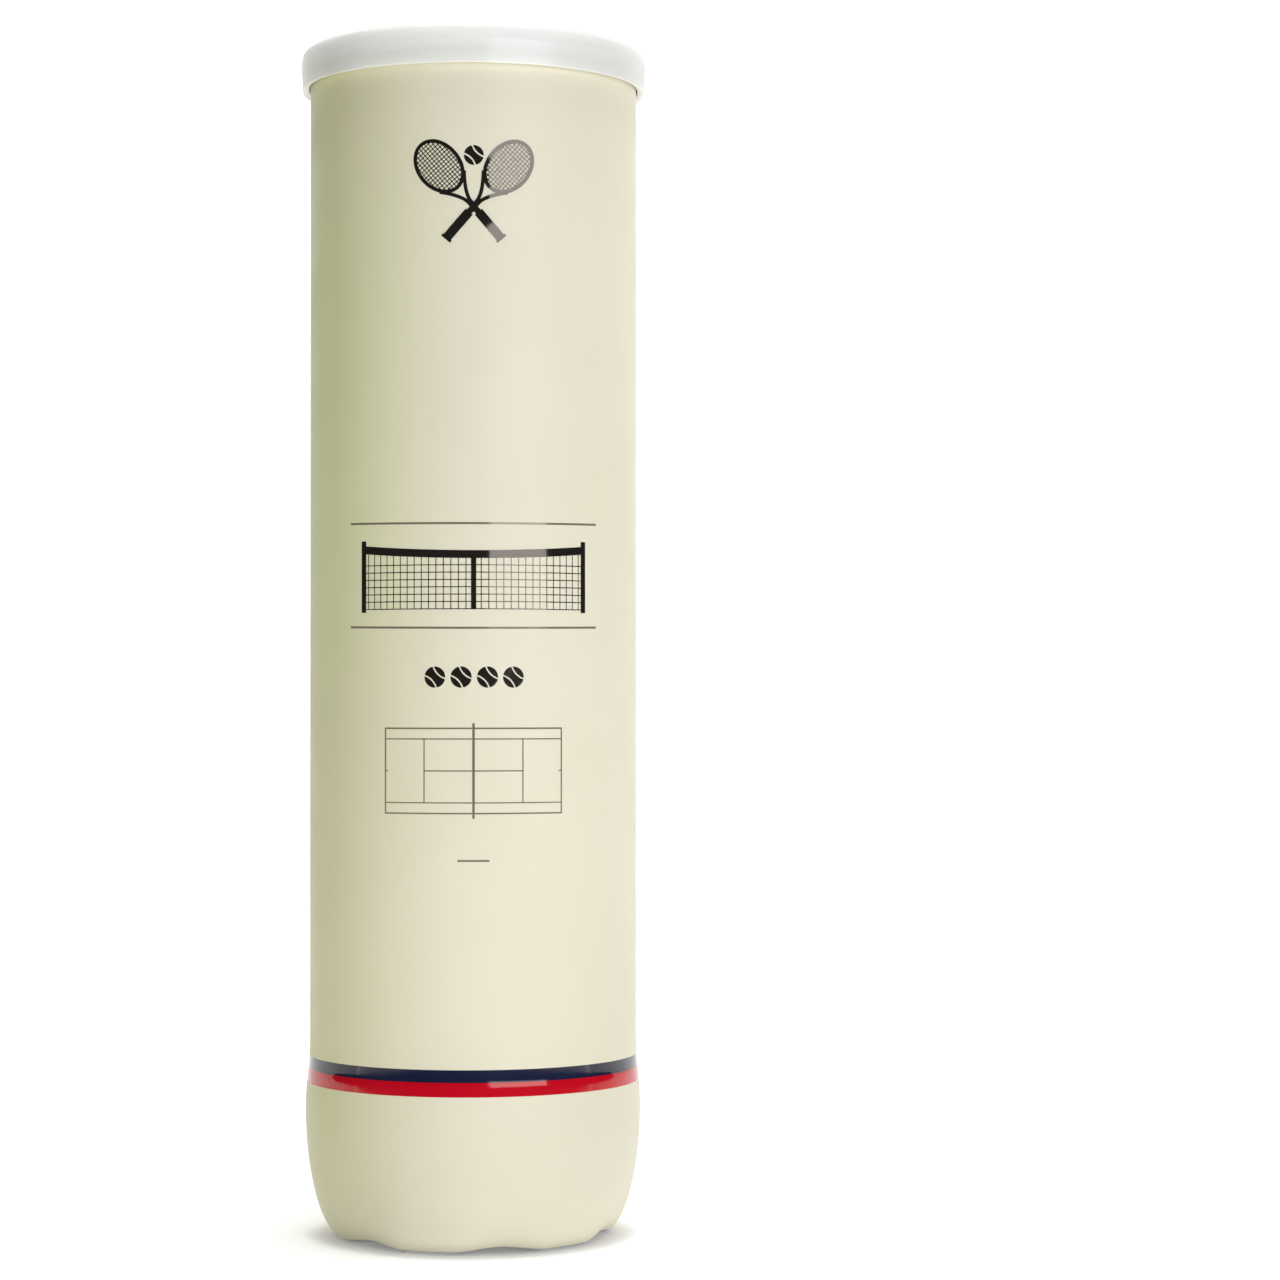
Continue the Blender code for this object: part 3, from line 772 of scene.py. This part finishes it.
def tube_loop(name, path, rx, rz, z, sides=14):
    """A closed rolled edge along a flat loop of (x, y)."""
    bm = bmesh.new()
    n = len(path)
    rows = []
    for i in range(n):
        d = Vector(path[(i + 1) % n]) - Vector(path[i - 1])
        d.normalize()
        out = Vector((d.y, -d.x))
        row = []
        for k in range(sides):
            w = TAU * k / sides
            c = math.cos(w)
            row.append(bm.verts.new(((path[i][0] + out.x * rx * c) * MM, (path[i][1] + out.y * rx * c) * MM,
                                     (z + rz * math.sin(w)) * MM)))
        rows.append(row)
    for i in range(n):
        a, b = rows[i], rows[(i + 1) % n]
        for k in range(sides):
            m = (k + 1) % sides
            bm.faces.new((a[k], a[m], b[m], b[k]))
    return finish_mesh(name, bm, [TAB_METAL])


def plate(name, loop, low, high):
    bm = bmesh.new()
    a = [bm.verts.new((x * MM, y * MM, low * MM)) for x, y in loop]
    b = [bm.verts.new((x * MM, y * MM, high * MM)) for x, y in loop]
    n = len(loop)
    for i in range(n):
        k = (i + 1) % n
        bm.faces.new((a[i], a[k], b[k], b[i]))
    bm.faces.new(a)
    bm.faces.new(b)
    return finish_mesh(name, bm, [TAB_METAL])


def circle(cx, cy, r, count):
    return [(cx + r * math.sin(TAU * i / count), cy + r * math.cos(TAU * i / count)) for i in range(count)]


def boolean(target, tool, kind):
    mod = target.modifiers.new(kind, "BOOLEAN")
    mod.operation = kind
    mod.solver = "EXACT"
    mod.object = tool
    deps = bpy.context.evaluated_depsgraph_get()
    mesh = bpy.data.meshes.new_from_object(target.evaluated_get(deps))
    target.modifiers.clear()
    old = target.data
    target.data = mesh
    bpy.data.meshes.remove(old)
    bpy.data.objects.remove(tool, do_unlink=True)


RING_Y = -8.6 - TAB_NOSE_Y
tab = plate("ring_pull", tab_outline(0.35), 0.36, 0.84)
boolean(tab, plate("cut", circle(0.0, RING_Y, 7.9, 64), -2.0, 3.0), "DIFFERENCE")
boolean(tab, plate("cut", circle(0.0, 6.0, 2.95, 40), -2.0, 3.0), "DIFFERENCE")
slit = [(-4.6, 6.4), (-4.0, 6.4), (-4.0, 9.6), (-3.6, 10.35), (-2.8, 10.6), (2.8, 10.6), (3.6, 10.35), (4.0, 9.6), (4.0, 6.4), (4.6, 6.4),
        (4.6, 9.8), (4.0, 10.9), (3.0, 11.2), (-3.0, 11.2), (-4.0, 10.9), (-4.6, 9.8)]
boolean(tab, plate("cut", slit, -2.0, 3.0), "DIFFERENCE")
boolean(tab, tube_loop("edge", tab_outline(0.68, 150), 0.66, 0.585, 0.60), "UNION")
boolean(tab, tube_loop("edge", circle(0.0, RING_Y, 8.02, 96), 0.62, 0.56, 0.60), "UNION")
for v in tab.data.vertices:
    v.co += Vector((0.0, TAB_NOSE_Y, TAB_Z)) * MM
for f in tab.data.polygons:
    f.use_smooth = True
tab.data.set_sharp_from_angle(angle=math.radians(38.0))
wear(tab, "tab", "end_metal", "pull_tab")

# ------------------------------------------------------------------ lid
LID_TOP, LID_LOW = 273.1, 264.1
lid_line = rounded([
    (0.0, LID_TOP - 0.80, 0), (8.0, LID_TOP - 0.80, 0), (11.6, LID_TOP - 0.80, 0.5), (12.0, LID_TOP - 0.62, 0.4), (12.9, LID_TOP - 0.62, 0.4),
    (13.3, LID_TOP - 0.80, 0.5), (31.6, LID_TOP - 0.80, 1.2), (33.0, LID_TOP - 0.06, 0.8), (38.80, LID_TOP, 0.9),
    (39.48, LID_TOP - 0.85, 1.2), (39.80, LID_TOP - 2.3, 1.8), (39.90, LID_TOP - 3.7, 1.8), (39.70, LID_TOP - 5.9, 3.0), (39.58, LID_LOW, 0.10),
    (38.20, LID_LOW + 0.45, 0.15), (38.00, LID_LOW + 0.70, 0.10), (38.00, LID_LOW + 1.7, 0.10), (38.80, 266.3, 0.3), (39.00, 267.0, 0.3), (39.00, 271.3, 0.5),
    (34.3, 271.3, 0.5), (33.4, 271.0, 0.5), (1.5, 271.0, 0), (0.0, 271.0, 0)], turn=12.0)
lid = lathe("push_lid", lid_line, [LID], n=288, closed=False, sharp=70.0)
wear(lid, "lid", "lid_plastic", "lid")

# ------------------------------------------------------------------ balls
B = 0.25
A = 1.0 - B
C = 2.0 * math.sqrt(A * B)


def seam_curve(t):
    return np.stack([A * np.cos(t) + B * np.cos(3 * t), A * np.sin(t) - B * np.sin(3 * t), C * np.sin(2 * t)], axis=-1)


def seam_side(t):
    along = seam_curve(t + 1e-4) - seam_curve(t - 1e-4)
    side = np.cross(seam_curve(t), along)
    return side / np.linalg.norm(side, axis=-1, keepdims=True)


def seam_offset(t, distance):
    p = seam_curve(t) + seam_side(t) * (distance / BALL_R)
    return p / np.linalg.norm(p, axis=-1, keepdims=True)


RIBS, ACROSS = 150, 56


def felt_grid(side, groove):
    """Unit vectors over one dumbbell of felt, and how far each is from its edge in mm."""
    start = -math.pi / 4 if side > 0 else math.pi / 4
    fold = -math.pi / 2 if side > 0 else math.pi / 2
    t = start + math.pi * np.linspace(0.0, 1.0, RIBS + 1)
    a, b = seam_offset(t, side * groove), seam_offset(fold - t, side * groove)
    angle = np.arccos(np.clip((a * b).sum(-1), -1.0, 1.0))
    share = np.linspace(0.0, 1.0, ACROSS + 1)
    grid = np.empty((RIBS + 1, ACROSS + 1, 3))
    for i in range(RIBS + 1):
        if angle[i] < 1e-5:
            grid[i] = a[i]
        else:
            grid[i] = (np.sin((1 - share) * angle[i])[:, None] * a[i] + np.sin(share * angle[i])[:, None] * b[i]) / math.sin(angle[i])
    edge = seam_offset(np.linspace(0.0, TAU, 480, endpoint=False), side * groove)
    flat = grid.reshape(-1, 3)
    near = np.empty(len(flat))
    for k in range(0, len(flat), 2000):
        dots = np.clip(flat[k:k + 2000] @ edge.T, -1.0, 1.0)
        near[k:k + 2000] = np.arccos(dots.max(axis=1)) * BALL_R
    return grid, near.reshape(RIBS + 1, ACROSS + 1)


def felt_piece(name, side, seed, lie, middle):
    grid, near = FELT_GRIDS[side]
    offset = Vector((seed * 7.3, seed * 3.1, seed * 5.7))
    bm = bmesh.new()
    shells = []
    for level in (0, 1):
        rows = []
        for i in range(RIBS + 1):
            row = []
            for k in range(ACROSS + 1):
                u = grid[i, k]
                if level == 0:
                    q = Vector(u) * 32.0 + offset
                    fuzz = 0.16 * noise.noise(q * 0.42) + 0.15 * noise.noise(q * 1.05 + Vector((9, 2, 4)))
                    roll = 1.15 * (1.0 - min(near[i, k] / 1.5, 1.0)) ** 2
                    r = BALL_R - 0.28 - roll + fuzz
                else:
                    r = 30.35
                if i in (0, RIBS) and k > 0:
                    row.append(row[0])
                else:
                    p = lie @ (Vector(u) * r)
                    row.append(bm.verts.new(((p.x) * MM, (p.y) * MM, (p.z + middle) * MM)))
            rows.append(row)
        shells.append(rows)

    def face(*corners):
        distinct = list(dict.fromkeys(corners))
        if len(distinct) >= 3:
            bm.faces.new(distinct)

    for rows in shells:
        for low, high in zip(rows, rows[1:]):
            for k in range(ACROSS):
                face(low[k], low[k + 1], high[k + 1], high[k])
    top, under = shells
    for edge in (0, ACROSS):
        for i in range(RIBS):
            face(top[i][edge], top[i + 1][edge], under[i + 1][edge], under[i][edge])
    return finish_mesh(name, bm, [FELT])


def seam_piece(name, lie, middle):
    bm = bmesh.new()
    count = 320
    t = np.linspace(0.0, TAU, count, endpoint=False)
    section = [(-1.30, 30.4), (-1.30, 31.2), (-1.05, 31.62), (-0.55, 31.84), (0.0, 31.90), (0.55, 31.84), (1.05, 31.62), (1.30, 31.2), (1.30, 30.4)]
    lines = [seam_offset(t, d) * r for d, r in section]
    rows = []
    for i in range(count):
        row = []
        for line in lines:
            p = lie @ Vector(line[i])
            row.append(bm.verts.new((p.x * MM, p.y * MM, (p.z + middle) * MM)))
        rows.append(row)
    m = len(section)
    for i in range(count):
        a, b = rows[i], rows[(i + 1) % count]
        for k in range(m):
            n = (k + 1) % m
            bm.faces.new((a[k], a[n], b[n], b[k]))
    return finish_mesh(name, bm, [BALL_SEAM])


FELT_GRIDS = {1: felt_grid(1, 1.12), -1: felt_grid(-1, 1.12)}
for n in range(1, 5):
    middle = BALL_BOTTOM + BALL_R + (n - 1) * BALL_PITCH
    lie = Euler((math.radians(25 + 67 * n), math.radians(12 * n - 31), math.radians(41 * n + 8))).to_matrix()
    body = f"ball_{n}"
    for letter, side in (("a", 1), ("b", -1)):
        felt = felt_piece(f"{body}_nap_{letter}", side, 2 * n + (side > 0), lie, middle)
        wear(felt, body, "ball_felt", f"{body}_felt_{letter}")
    wear(seam_piece(f"{body}_line", lie, middle), body, "ball_seam_rubber", f"{body}_seam")
    for half_name in ("core_upper", "core_lower"):
        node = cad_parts[f"{body}_{half_name}"]
        node.data.materials.clear()
        node.data.materials.append(CORE)

# ------------------------------------------------------------------ floor and light
floor_mat = bpy.data.materials.new("floor_white")
floor_mat.use_nodes = True
tree = floor_mat.node_tree
shader = tree.nodes["Principled BSDF"]
shader.inputs["Base Color"].default_value = (0.66, 0.66, 0.66, 1.0)
shader.inputs["Roughness"].default_value = 0.8
shader.inputs["Specular IOR Level"].default_value = 0.0
shader.inputs["Emission Color"].default_value = (1.0, 0.995, 0.95, 1.0)
place = tree.nodes.new("ShaderNodeTexCoord")
away = tree.nodes.new("ShaderNodeVectorMath")
away.operation = "LENGTH"
tree.links.new(place.outputs["Object"], away.inputs[0])
# painted shadow: the floor's glow is low under and just around the can's foot, standing for its contact shadow, and it
# rises to an even bright floor further out
emission_with_painted_shadow = tree.nodes.new("ShaderNodeValToRGB")
emission_with_painted_shadow.color_ramp.interpolation = "EASE"
stops = emission_with_painted_shadow.color_ramp.elements
for place_at, value in ((0.028, 0.20), (0.041, 0.50), (0.060, 0.60), (0.12, 0.68), (0.90, 0.90)):
    stop = stops.new(place_at)
    stop.color = (value, value, value, 1.0)
stops[0].color = (0.20, 0.20, 0.20, 1.0)
stops[len(stops) - 1].color = (0.90, 0.90, 0.90, 1.0)
tree.links.new(away.outputs["Value"], emission_with_painted_shadow.inputs["Fac"])
# painted light: a band of brighter glow on the floor about 0.1 m in front of the can, a painted pool of light that
# lifts the heel from below
parts = tree.nodes.new("ShaderNodeSeparateXYZ")
tree.links.new(place.outputs["Object"], parts.inputs[0])
near = tree.nodes.new("ShaderNodeMapRange")
near.inputs["From Min"].default_value = -1.0
near.inputs["From Max"].default_value = 0.0
tree.links.new(parts.outputs["Y"], near.inputs["Value"])
front = tree.nodes.new("ShaderNodeValToRGB")
front.color_ramp.interpolation = "EASE"
steps = front.color_ramp.elements
for place_at, value in ((0.60, 1.08), (0.80, 1.35), (0.885, 2.90)):
    step = steps.new(place_at)
    step.color = (value, value, value, 1.0)
steps[0].color = (1.16, 1.16, 1.16, 1.0)
steps[len(steps) - 1].position = 0.94
steps[len(steps) - 1].color = (1.0, 1.0, 1.0, 1.0)
tree.links.new(near.outputs["Result"], front.inputs["Fac"])
# the painted shadow and the painted pool of light together set the floor's glow
even = tree.nodes.new("ShaderNodeMath")
even.operation = "MULTIPLY"
tree.links.new(emission_with_painted_shadow.outputs["Color"], even.inputs[0])
tree.links.new(front.outputs["Color"], even.inputs[1])
tree.links.new(even.outputs["Value"], shader.inputs["Emission Strength"])

bm = bmesh.new()
path = [(-3.0, 0.0), (1.2, 0.0)] + [(1.2 + 0.6 * math.sin(a), 0.6 - 0.6 * math.cos(a)) for a in np.linspace(0.1, math.pi / 2, 12)] + [(1.8, 3.0)]
left = [bm.verts.new((-4.0, y, z)) for y, z in path]
right = [bm.verts.new((4.0, y, z)) for y, z in path]
for i in range(len(path) - 1):
    bm.faces.new((left[i], right[i], right[i + 1], left[i + 1]))
floor = finish_mesh("floor", bm, [floor_mat])


def studio_piece(name, verts, faces, mat, camera_sees):
    """A backdrop that only the camera sees, or a dark card that only takes soft light away."""
    mesh = bpy.data.meshes.new(name)
    mesh.from_pydata(verts, [], faces)
    mesh.materials.append(mat)
    obj = bpy.data.objects.new(name, mesh)
    bpy.context.scene.collection.objects.link(obj)
    obj.visible_camera = camera_sees
    obj.visible_diffuse = not camera_sees
    obj.visible_glossy = False
    obj.visible_transmission = camera_sees
    obj.visible_shadow = False
    return obj


pale = bpy.data.materials.new("backdrop_pale")
pale.use_nodes = True
pale_shader = pale.node_tree.nodes["Principled BSDF"]
pale_shader.inputs["Base Color"].default_value = (0.0, 0.0, 0.0, 1.0)
pale_shader.inputs["Emission Color"].default_value = (1.0, 1.0, 1.0, 1.0)
pale_shader.inputs["Emission Strength"].default_value = 1.0
round_about = [(9.0 * math.sin(TAU * k / 48), 9.0 * math.cos(TAU * k / 48)) for k in range(48)]
studio_piece("surround", [(x, y, z) for z in (-0.5, 9.0) for x, y in round_about],
             [(k, (k + 1) % 48, 48 + (k + 1) % 48, 48 + k) for k in range(48)] + [tuple(range(48, 96))], pale, True)

card_mat = bpy.data.materials.new("card_dark")
card_mat.use_nodes = True
card_mat.node_tree.nodes["Principled BSDF"].inputs["Base Color"].default_value = (0.02, 0.02, 0.02, 1.0)
card_mat.node_tree.nodes["Principled BSDF"].inputs["Specular IOR Level"].default_value = 0.0
studio_piece("card", [(-0.20, -0.06, 0.0), (-0.56, 1.72, 0.0), (-0.56, 1.72, 1.6), (-0.20, -0.06, 1.6)], [(0, 1, 2, 3)], card_mat, False)

world = bpy.data.worlds.new("studio")
bpy.context.scene.world = world
world.use_nodes = True
world.node_tree.nodes["Background"].inputs["Color"].default_value = (1.0, 1.0, 1.0, 1.0)
world.node_tree.nodes["Background"].inputs["Strength"].default_value = 0.05


def area(name, place, aim, size, power, colour=(1.0, 1.0, 1.0)):
    light = bpy.data.lights.new(name, "AREA")
    light.shape = "RECTANGLE"
    light.size, light.size_y = size
    light.energy = power
    light.color = colour
    obj = bpy.data.objects.new(name, light)
    obj.location = place
    obj.rotation_euler = (Vector(aim) - Vector(place)).to_track_quat("-Z", "Y").to_euler()
    bpy.context.scene.collection.objects.link(obj)
    return obj


def around(azimuth, distance, height):
    """A place at an angle from the camera's side of the can, towards the right."""
    a = math.radians(azimuth)
    return (distance * math.sin(a), -distance * math.cos(a), height)


area("key", around(31.0, 1.25, 0.40), (0.0, 0.0, 0.40), (0.92, 0.46), 5.9, (0.95, 0.97, 1.12))
area("top", (0.03, -0.06, 1.5), (0.0, -0.02, 0.0), (0.55, 0.55), 17.0)

# ------------------------------------------------------------------ camera
camera = bpy.data.cameras.new("camera")
camera.sensor_width = 36.0
camera.lens = 91.3
camera.clip_start = 0.05
camera.clip_end = 30.0
cam = bpy.data.objects.new("camera", camera)
cam.location = (0.0, -0.755, 0.12339)
cam.rotation_euler = (math.radians(90.5), 0.0, math.radians(-2.935))
camera.shift_y = 0.025
bpy.context.scene.collection.objects.link(cam)
bpy.context.scene.camera = cam
bpy.context.scene.view_settings.view_transform = "Standard"
bpy.context.scene.view_settings.look = "None"
